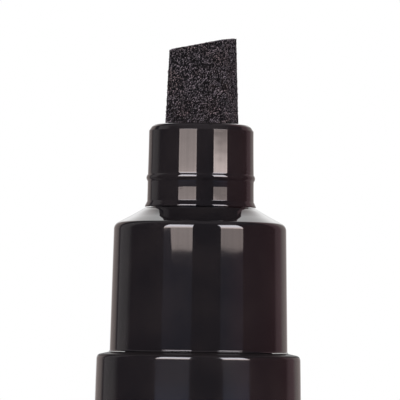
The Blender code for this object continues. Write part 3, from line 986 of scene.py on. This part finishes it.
def soft_rubber(name, seed):
    """Black rubber with a dusty bloom."""
    made, shader, sheet = new_finish(name)
    place = placed(sheet, seed)
    bloom = grain(place, 350.0, 4.0).between(0.5, 0.8)
    fine = grain(place, 3000.0, 2.0)
    connect(bloom.mix(RUBBER_DEEP, RUBBER_BLOOM), shader, "Base Color")
    connect(0.58 + fine * 0.2, shader, "Roughness")
    connect(bump(fine, RUBBER_RELIEF), shader, "Normal")
    return made


print("steel, pale plastic and rubber ready")

# %% [markdown]
# These pieces keep the plain solids as their shape, since hardly anything of them is ever seen. Only
# their finish is new, with its own seed for each piece.

# %% Dress the inside pieces
INSIDE_FINISHES = {
    "head_gasket": soft_rubber,
    "tail_plug_seal": soft_rubber,
    "valve_seal": soft_rubber,
    "valve_body": pale_plastic,
    "valve_stem": pale_plastic,
    "spring_retainer": pale_plastic,
}
MIXING_BALLS = ["mixing_ball_1", "mixing_ball_2"]
EVEN = (1.0, 1.0, 1.0)


def dress(node, finish):
    """Give a plain solid its only finish."""
    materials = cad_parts[node].data.materials
    materials.clear()
    materials.append(finish)


for seed, (node, finish) in enumerate(INSIDE_FINISHES.items(), 20):
    dress(node, finish(f"{node}_finish", seed))
for seed, node in enumerate(MIXING_BALLS, 30):
    dress(node, bright_steel(f"{node}_finish", seed, EVEN))
print("finished inside pieces:", ", ".join([*INSIDE_FINISHES, *MIXING_BALLS]))

# %% [markdown]
# ## Valve spring
# The spring is wound by the same tree as the threads, from a round wire. Pressing the nib shortens
# it along the axis: its foot on the retainer stays, and a little over half of its length is left
# when the nib is right in. The coil gets a mesh of its own.

# %% Valve spring
SPRING_TURNS = 6.0
SPRING_WIRE = 0.5 * MM
SPRING_CROWDING = 0.45
SPRING_RUN_OUT = 0.004
WIRE_SIDES = 12
WIRE_STRETCH = (1.0, 1.0, 6.0)

spring_low, spring_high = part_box("valve_spring")
wire_outline = []
for step in range(WIRE_SIDES):
    angle = math.tau * step / WIRE_SIDES
    wire_outline.append((SPRING_WIRE / 2 * math.cos(angle), SPRING_WIRE / 2 * math.sin(angle)))
coil_mesh = wound("valve_spring_coil", wire_outline, {
    "Turns": SPRING_TURNS,
    "Radius": spring_high.x - SPRING_WIRE / 2,
    "Height": spring_high.z - spring_low.z - SPRING_WIRE,
    "Foot": spring_low.z + SPRING_WIRE / 2,
    "Crowding": SPRING_CROWDING,
    "Run-out": SPRING_RUN_OUT,
    "Finish": bright_steel("spring_drawn_wire", 40, WIRE_STRETCH),
})
coil = as_piece("valve_spring_coil", coil_mesh, "head_body", ["valve_spring"])
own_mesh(coil)

# %% [markdown]
# ## Nib collar
# Outside, the collar is turned like the housing, with a soft bead round its waist and a lip at its
# foot. Inside, it has a rectangular passage for the nib, so it can't be swept. It is lofted
# instead: rows of points that each run once round, circles outside and rectangles inside, are
# skinned one after the other.

# %% Lofted skins
def skin(name, rows, closed):
    """Mesh over rows of points that each run once round; closed joins the last row to the first."""
    count = len(rows[0])
    faces = []
    for row in range(len(rows) if closed else len(rows) - 1):
        here = row * count
        there = (row + 1) % len(rows) * count
        for index in range(count):
            after = (index + 1) % count
            faces.append((here + index, here + after, there + after, there + index))
    mesh = bpy.data.meshes.new(name)
    mesh.from_pydata([point for row in rows for point in row], [], faces)
    return mesh


def circle_row(radius, height):
    """Points of a turned surface; the radius may be a rule of the angle."""
    row = []
    for index in range(SEGMENTS):
        angle = math.tau * index / SEGMENTS
        reach = radius(angle) if callable(radius) else radius
        row.append((reach * math.cos(angle), reach * math.sin(angle), height))
    return row


def rectangle_row(width, depth, height, turn):
    """Points of a turned rectangle, at about the angles of a circle's row."""
    row = []
    for index in range(SEGMENTS):
        angle = math.tau * index / SEGMENTS
        across = math.cos(angle - turn)
        along = math.sin(angle - turn)
        reach = min(width / 2 / max(abs(across), 1e-9), depth / 2 / max(abs(along), 1e-9))
        row.append((reach * math.cos(angle), reach * math.sin(angle), height))
    return row


print("rows have", SEGMENTS, "points")

# %% [markdown]
# The bead is a shallow arc with a soft foot, and it wavers a little on its way round, as a moulded
# bead does. The wall above it grows a little faster towards the bead. Below the bead it is upright
# down to the waist and then spreads again, which is what bends the stripes there.

# %% The collar's wall and bead
COLLAR_HEIGHT = 9.84 * MM
COLLAR_TOP_RADIUS = 6.155 * MM
WALL_DRAFT_TOP = math.tan(math.radians(0.2))
WALL_DRAFT_BEAD = math.tan(math.radians(1.6))
WALL_DRAFT_WAIST = math.tan(math.radians(0.75))
WALL_DRAFT_FOOT = math.tan(math.radians(1.35))
BEAD_RISE = 3.45 * MM
BEAD_PROUD = 0.155 * MM
BEAD_ARC = 0.55 * MM
BEAD_FADE = 0.4 * MM
BEAD_FOOT = 0.04 * MM
BEAD_REACH = 0.9 * MM
BEAD_WAVER = 0.05
WAVER_ROUND = 2.5
WAVER_RISE = 400
WAIST_RISE = 2.28 * MM
LIP_TOP = 0.7 * MM

collar_top = collar_high.z
collar_foot = collar_top - COLLAR_HEIGHT
bead_height = collar_foot + BEAD_RISE
upper_wall = collar_top - bead_height
waist = collar_foot + WAIST_RISE


def widened(fallen, length, first, last):
    """Growth in radius over a height, from one draft to another."""
    return first * fallen + (last - first) / (2 * length) * fallen ** 2


def collar_wall(height):
    """Radius of the collar's wall, without its bead: upright from the bead to the waist."""
    fallen = min(collar_top - height, upper_wall)
    upper = widened(fallen, upper_wall, WALL_DRAFT_TOP, WALL_DRAFT_BEAD)
    below_waist = max(0.0, waist - height)
    lower = widened(below_waist, WAIST_RISE - LIP_TOP, WALL_DRAFT_WAIST, WALL_DRAFT_FOOT)
    return COLLAR_TOP_RADIUS + upper + lower


def beaded_wall(height):
    """Rule for one row of the wall: a shallow arc with a soft foot that wavers on its way round."""
    away = abs(height - bead_height)
    arc = math.sqrt(max(0.0, BEAD_ARC ** 2 - away ** 2)) - BEAD_ARC + BEAD_PROUD
    bead = (arc + math.hypot(arc, BEAD_FOOT)) / 2 * min(1.0, max(0.0, BEAD_REACH - away) / BEAD_FADE)

    def radius(angle):
        across = WAVER_ROUND * math.cos(angle)
        along = WAVER_ROUND * math.sin(angle)
        waver = noise.noise(Vector((across, along, WAVER_RISE * height)))
        return collar_wall(height) + bead * (1 + BEAD_WAVER * waver)

    return radius


print(f"collar: {2 * collar_wall(collar_top) / MM:.2f} mm across at its top,",
      f"{2 * collar_wall(collar_foot + LIP_TOP) / MM:.2f} mm above its lip")

# %% [markdown]
# The rows follow each other down the outside: a rounded rim, the wall with its bead, and the lip, a
# short cone with a round edge. They lie closest where the bead bends the reflections most, because
# gloss shows every facet.

# %% Rows down the collar's outside
COLLAR_RIM_DROP = 0.84 * MM
RIM_WIDTH = 1.25 * MM
RIM_BENDS = [  # in from the wall, down from the top, fillet
    (0.62 * MM, 0.12 * MM, 0.6 * MM),
    (0.3 * MM, 0.38 * MM, 0.4 * MM),
]
RIM_LEAD = 0.3 * MM
RIM_EDGE = 0.03 * MM
LIP_EDGE = 0.13 * MM
LIP_PROUD = 0.27 * MM
LIP_FILLET = 0.45 * MM
LIP_FOOT_EDGE = 0.06 * MM
LIP_LEAD = 0.3 * MM
LIP_UNDERCUT = 0.5 * MM
WALL_END = 0.35 * MM
FINE_STEPS = 14
LOWER_STEPS = 6


def spread(first, last, steps=FINE_STEPS):
    """Evenly spaced heights, with both ends."""
    return [first + (last - first) * step / steps for step in range(steps + 1)]


rim_foot = collar_top - COLLAR_RIM_DROP
lip_top = collar_foot + LIP_TOP
wall_heights = spread(rim_foot - HOLD, bead_height + BEAD_REACH)
wall_heights += spread(bead_height + BEAD_REACH - HOLD, bead_height - BEAD_REACH, 4 * FINE_STEPS)
wall_heights += [waist + HOLD, waist, waist - HOLD]
wall_heights += spread(waist - 2 * HOLD, lip_top + WALL_END, LOWER_STEPS)
rim_wall = collar_wall(rim_foot)
lip_wall = collar_wall(lip_top)
rim_corners = [
    (rim_wall - RIM_WIDTH, collar_top, 0),
    *((rim_wall - inward, collar_top - down, fillet) for inward, down, fillet in RIM_BENDS),
    (rim_wall, rim_foot, RIM_EDGE),
    (rim_wall, rim_foot - RIM_LEAD, 0),
]
lip_corners = [
    (collar_wall(lip_top + LIP_LEAD), lip_top + LIP_LEAD, 0),
    (lip_wall, lip_top, FINE_EDGE),
    (lip_wall + LIP_PROUD, collar_foot + LIP_EDGE, LIP_FILLET),
    (lip_wall + LIP_PROUD, collar_foot, LIP_FOOT_EDGE),
    (lip_wall - LIP_UNDERCUT, collar_foot, 0),
]
collar_rows = [circle_row(spot.x, spot.y) for spot in rounded(rim_corners)[:-1]]
collar_rows += [circle_row(beaded_wall(height), height) for height in wall_heights]
collar_rows += [circle_row(spot.x, spot.y) for spot in rounded(lip_corners)[1:]]
print("rows down the outside:", len(collar_rows))

# %% [markdown]
# The last rows go round the spigot, which is pressed into the housing, and come back up the passage
# for the nib, which is turned as the nib is and opens a little at its top. The collar's gloss has
# more ripple than the other mouldings', which roughens the sides of its stripes.

# %% Nib collar
NIB_TURN = math.radians(-20.7)
NIB_WIDTH = 7.6 * MM
NIB_DEPTH = 4.0 * MM
PASSAGE_OPENS = 0.3 * MM
PASSAGE_MOUTH = 0.15 * MM
COLLAR_RIPPLE = 0.003 * MM

spigot = socket_radius - GAP
passage = (NIB_WIDTH + 2 * GAP, NIB_DEPTH + 2 * GAP)
passage_mouth = (passage[0] + PASSAGE_OPENS, passage[1] + PASSAGE_OPENS)
collar_rows += [
    circle_row(spigot, collar_foot),
    circle_row(spigot, collar_low.z + BROKEN_EDGE),
    circle_row(spigot - BROKEN_EDGE, collar_low.z),
    rectangle_row(*passage, collar_low.z, NIB_TURN),
    rectangle_row(*passage, collar_top - PASSAGE_MOUTH, NIB_TURN),
    rectangle_row(*passage_mouth, collar_top, NIB_TURN),
]
collar_mesh = skin("collar_shell", collar_rows, True)
collar_mesh.materials.append(black_gloss("collar_gloss", 3.0, ripple=COLLAR_RIPPLE))
as_piece("collar_shell", collar_mesh, "head_body", ["nib_collar"])

# %% [markdown]
# ## Felt nib
# The nib is a block of pressed felt with a slanted chisel end. Felt is matt and speckled, so its
# finish has hardly any gloss, a fine grain from near black to grey, and a few brownish stains.

# %% Finish: charcoal felt
FELT_DEEP = (0.0051, 0.0051, 0.0056, 1.0)
FELT_PALE = (0.02, 0.019, 0.021, 1.0)
FELT_BROWN = (0.019, 0.0155, 0.0155, 1.0)
FELT_RELIEF = 0.12 * MM
FELT_SHEEN = 0.03


def charcoal_felt(name, seed):
    """Matt felt with pale flecks and brownish stains."""
    made, shader, sheet = new_finish(name)
    place = placed(sheet, seed)
    speckle = grain(place, 3600.0, 2.0)
    stain = grain(place, 220.0, 2.0).between(0.45, 0.7)
    fleck = speckle.between(0.42, 0.72)
    pale = stain.mix(FELT_PALE, FELT_BROWN)
    connect(fleck.mix(FELT_DEEP, pale), shader, "Base Color")
    connect(0.82 + speckle * 0.18, shader, "Roughness")
    connect(bump(speckle, FELT_RELIEF), shader, "Normal")
    shader.inputs["Specular IOR Level"].default_value = FELT_SHEEN
    return made


print("charcoal felt ready")

# %% [markdown]
# Felt has no clean edges: its corners are soft and its surface is a crust of fibres. The block is
# lofted from rounded rectangles about a tenth of a millimetre apart, close enough for noise to push
# each point in or out. Every outline has the same number of points, so that they can be skinned.

# %% Outlines of the nib
NIB_TIP_WIDTH = 6.95 * MM
NIB_POINT_STEP = 0.1 * MM
CORNER_POINTS = 5

side_points = (round(NIB_TIP_WIDTH / NIB_POINT_STEP), round(NIB_DEPTH / NIB_POINT_STEP))


def felt_outline(width, depth, corner):
    """Rounded rectangle as (spot, outward) pairs, with a fixed count of points on each side."""
    points = []
    half = Vector((width / 2 - corner, depth / 2 - corner))
    signs = [(1, 1), (-1, 1), (-1, -1), (1, -1)]
    for quarter, (sign_x, sign_y) in enumerate(signs):
        centre = Vector((half.x * sign_x, half.y * sign_y))
        start = quarter * math.pi / 2
        for step in range(CORNER_POINTS):
            angle = start + math.pi / 2 * step / (CORNER_POINTS - 1)
            outward = Vector((math.cos(angle), math.sin(angle)))
            points.append((centre + outward * corner, outward))
        last, outward = points[-1]
        next_sign = signs[(quarter + 1) % 4]
        arm = Vector((half.x * next_sign[0], half.y * next_sign[1])) - centre
        count = side_points[quarter % 2]
        points += [(last + arm * step / count, outward) for step in range(1, count)]
    return points


print("points round the nib:", len(felt_outline(NIB_WIDTH, NIB_DEPTH, NIB_POINT_STEP)))

# %% [markdown]
# Above the collar the block narrows a little towards its end, which slants to one side and rises
# towards the back. It stands a hair to one side of its passage, as a nib does that is pushed in by
# hand. Only this part is rough, so that the hidden shank still slides in its passage.

# %% Rows of the nib above the collar
NIB_FREE_WIDTH = 7.75 * MM
NIB_FREE_DEPTH = 4.15 * MM
NIB_REACH = 10.04 * MM
NIB_SLANT = math.tan(math.radians(9.2))
NIB_BACK_RISE = math.tan(math.radians(5.5))
NIB_CORNER = 0.22 * MM
NIB_SHIFT = Vector((0.045 * MM, 0, 0))
CORNERS_IN_DEPTH = 2.2
CRUST = 0.05 * MM
CRUST_LAYERS = ((0.6, 0.45 * MM), (0.5, 0.2 * MM))  # share of the height, size of its lumps
UPWARD = Vector((0, 0, 1))

tip_middle = collar_top + NIB_REACH - NIB_TIP_WIDTH / 2 * NIB_SLANT
turn_nib = Matrix.Rotation(NIB_TURN, 3, "Z")


def felt_row(share, inset=0.0, drop=0.0, rough=1.0, lift=0.0):
    """Row of the nib above the collar: share 0 at the collar, 1 at the slanted end."""
    width = NIB_FREE_WIDTH + (NIB_TIP_WIDTH - NIB_FREE_WIDTH) * share - 2 * inset
    depth = NIB_FREE_DEPTH - 2 * inset
    corner = max(min(NIB_CORNER, depth / CORNERS_IN_DEPTH), 0.0)
    row = []
    for spot, outward in felt_outline(width, depth, corner):
        end = tip_middle + NIB_SLANT * spot.x + NIB_BACK_RISE * spot.y - drop
        height = collar_top + (end - collar_top) * share
        place = Vector((spot.x, spot.y, height))
        crust = sum(part * noise.noise(place / lump) for part, lump in CRUST_LAYERS)
        push = crust * CRUST * rough
        away = Vector((outward.x, outward.y, 0)) * (1 - lift) + UPWARD * lift
        row.append(turn_nib @ (place + away * push) + NIB_SHIFT)
    return row


print(f"nib: {NIB_REACH / MM:.1f} mm above the collar at its high corner")

# %% [markdown]
# The rows run from the foot of the shank to the collar, up the free part, round the edge of the
# slanted end and inwards over it, down to a narrow seam along its middle. One face closes the foot
# and one the seam.

# %% Felt nib
NIB_ROW_STEP = 0.1 * MM
NIB_TOP_ROUND = 0.25 * MM
SHANK_ROWS = 6
TOP_ROUND_STEPS = 4
ROUGH_START = 0.2
ROUGH_ROWS = 5
SEAM = 0.001 * MM

nib_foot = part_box("nib")[0].z
shank_outline = felt_outline(NIB_WIDTH, NIB_DEPTH, NIB_CORNER)
felt_rows = []
for step in range(SHANK_ROWS):
    height = nib_foot + (collar_top - nib_foot) * step / SHANK_ROWS
    felt_rows.append([turn_nib @ Vector((spot.x, spot.y, height)) for spot, _ in shank_outline])
row_count = round(NIB_REACH / NIB_ROW_STEP)
for step in range(row_count):
    felt_rows.append(felt_row(step / row_count, rough=min(1.0, ROUGH_START + step / ROUGH_ROWS)))
for step in range(1, TOP_ROUND_STEPS):
    roll = math.pi / 2 * step / TOP_ROUND_STEPS
    inset = NIB_TOP_ROUND * (1 - math.cos(roll))
    drop = NIB_TOP_ROUND * (1 - math.sin(roll))
    felt_rows.append(felt_row(1.0, inset, drop, lift=step / TOP_ROUND_STEPS))
for step in range(round((NIB_FREE_DEPTH / 2 - NIB_TOP_ROUND) / NIB_POINT_STEP)):
    felt_rows.append(felt_row(1.0, NIB_TOP_ROUND + step * NIB_POINT_STEP, lift=1.0))
felt_rows.append(felt_row(1.0, NIB_FREE_DEPTH / 2 - SEAM, lift=1.0))
nib_mesh = skin("nib_felt", felt_rows, False)
work = bmesh.new()
work.from_mesh(nib_mesh)
work.verts.ensure_lookup_table()
work.faces.new([work.verts[index] for index in range(len(shank_outline))])
work.faces.new([work.verts[-1 - index] for index in range(len(shank_outline))])
work.to_mesh(nib_mesh)
work.free()
nib_mesh.materials.append(charcoal_felt("nib_charcoal_felt", 5.0))
as_piece("nib_felt", nib_mesh, "nib_body", ["nib"])

# %% [markdown]
# ## Loose fibres
# Loose fibres lie on the felt, and they are what makes it look like felt at all. A Geometry Nodes
# tree scatters small spindles over the block, tips each one over until it almost lies flat, turns
# most of them the same way, as the pressing of the felt does, and makes them one mesh. The random
# values have a fixed seed.

# %% Geometry Nodes: scatter the fibres
FIBRE_TILT = (math.radians(70), math.radians(92))
FIBRE_TURN = (math.radians(-75), math.radians(5))
FIBRE_GROWTH = (0.45, 1.3)


def fibre_tree():
    """Tree that scatters spindles over the felt above a height."""
    tree, given = new_tree("loose_fibres", {
        "Felt": "NodeSocketGeometry",
        "Density": "NodeSocketFloat",
        "Length": "NodeSocketFloat",
        "Thickness": "NodeSocketFloat",
        "From height": "NodeSocketFloat",
        "Seed": "NodeSocketInt",
        "Finish": "NodeSocketMaterial",
    })
    sheet = Wire(tree)
    seed = given["Seed"]
    height = sheet.node("GeometryNodeInputPosition").split()[2]
    free = height.node(
        "FunctionNodeCompare", {"operation": "GREATER_THAN"}, {0: height, 1: given["From height"]},
    )
    spots = sheet.node(
        "GeometryNodeDistributePointsOnFaces", None,
        {"Mesh": given["Felt"], "Selection": free, "Density": given["Density"], "Seed": seed},
    )
    least, most = ((tilt, 0.0, turn) for tilt, turn in zip(FIBRE_TILT, FIBRE_TURN))
    lean = {0: least, 1: most, "Seed": seed}
    tilt = sheet.node("FunctionNodeRandomValue", {"data_type": "FLOAT_VECTOR"}, lean)
    sizes = {2: FIBRE_GROWTH[0], 3: FIBRE_GROWTH[1], "Seed": seed}
    growth = sheet.node("FunctionNodeRandomValue", None, sizes, 1)
    lie = sheet.node(
        "FunctionNodeRotateRotation", {"rotation_space": "LOCAL"},
        {"Rotation": spots.sibling("Rotation"), "Rotate By": tilt},
    )
    ball = sheet.node("GeometryNodeMeshIcoSphere", None, {"Radius": 0.5, "Subdivisions": 1})
    stretch = sheet.node(
        "ShaderNodeCombineXYZ", None,
        {"X": given["Thickness"], "Y": given["Thickness"], "Z": given["Length"]},
    )
    spindle = sheet.node("GeometryNodeTransform", None, {"Geometry": ball, "Scale": stretch})
    fibres = sheet.node(
        "GeometryNodeInstanceOnPoints", None,
        {"Points": spots, "Instance": spindle, "Rotation": lie, "Scale": growth},
    )
    close_tree(fibres, given["Finish"])
    return tree


SCATTER = fibre_tree()
print("fibre tree:", len(SCATTER.nodes), "nodes")

# %% [markdown]
# Single fibres are painted much paler than the block. Their colour holds a painted highlight for the
# light they catch on their backs, and the shadow between them falls by itself. Some are dark and
# some brownish, at a scale that is finer than their length.

# %% Loose fibres
FIBRE_DENSITY = 36e6
FIBRE_LENGTH = 0.22 * MM
FIBRE_THICKNESS = 0.07 * MM
FIBRE_SEED = 11
# The grey and brown fibre colours are far paler than the felt: they are a painted highlight.
FIBRE_GREY_GLINT = (0.296, 0.258, 0.286, 1.0)
FIBRE_BROWN_GLINT = (0.302, 0.233, 0.236, 1.0)
FIBRE_DARK = (0.0238, 0.023, 0.0247, 1.0)
FIBRE_SHEEN = 0.1


def fibre_glint_finish(name, seed):
    """Paler than the block as a painted highlight, with some brownish and some dark fibres."""
    made, shader, sheet = new_finish(name)
    place = placed(sheet, seed)
    shade = grain(place, 7000.0, 1.0).between(0.4, 0.66)
    stain = grain(place, 500.0, 2.0).between(0.45, 0.7)
    # The pale colours carry the painted highlight; the dark ones are the felt's own tone.
    connect(shade.mix(FIBRE_DARK, stain.mix(FIBRE_GREY_GLINT, FIBRE_BROWN_GLINT)), shader, "Base Color")
    connect(0.7 + shade * 0.2, shader, "Roughness")
    shader.inputs["Specular IOR Level"].default_value = FIBRE_SHEEN
    return made


fuzz_mesh = settled("nib_fuzz", nib_mesh.copy(), SCATTER, {
    "Density": FIBRE_DENSITY,
    "Length": FIBRE_LENGTH,
    "Thickness": FIBRE_THICKNESS,
    "From height": collar_top + FIBRE_LENGTH / 3,
    "Seed": FIBRE_SEED,
    "Finish": fibre_glint_finish("fibre_grey_glint", 6.0),
})
as_piece("nib_fuzz", fuzz_mesh, "nib_body")
